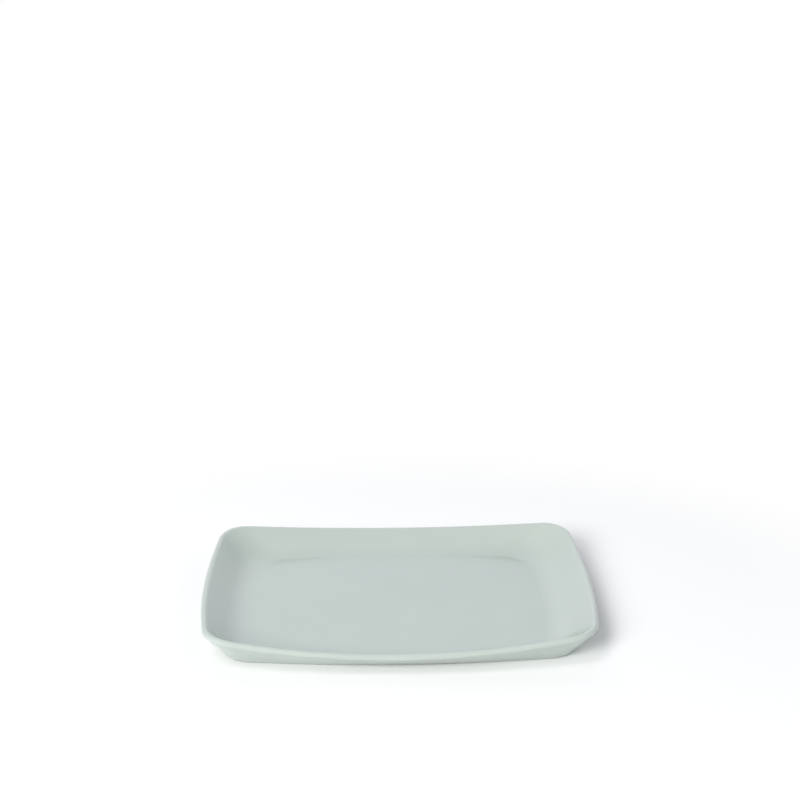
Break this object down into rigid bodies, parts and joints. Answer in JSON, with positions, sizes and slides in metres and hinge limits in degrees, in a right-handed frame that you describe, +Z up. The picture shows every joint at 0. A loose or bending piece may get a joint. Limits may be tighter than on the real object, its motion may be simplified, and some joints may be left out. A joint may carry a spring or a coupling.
{
  "type": "serving plate",
  "caption": "Shallow rectangular ceramic serving plate with bowed sides, round corners, a flared wall and a rim that dips along each side and lifts at the corners.",
  "frame": {"origin": "centre of the plate on the plane it stands on", "axes": "+X along the long sides, +Y along the short sides, +Z up"},
  "size_m": [0.3, 0.22, 0.0243],
  "materials": {
    "bare_clay": "bare fired clay, matt and fine grained",
    "glaze": "smooth pale grey-green glaze",
    "panel_glaze": "smooth pale grey-green glaze"
  },
  "bodies": {
    "root": {"clay_body": "bare_clay", "glaze_coat": "glaze", "panel_glaze": "panel_glaze"}
  },
  "joints": []
}
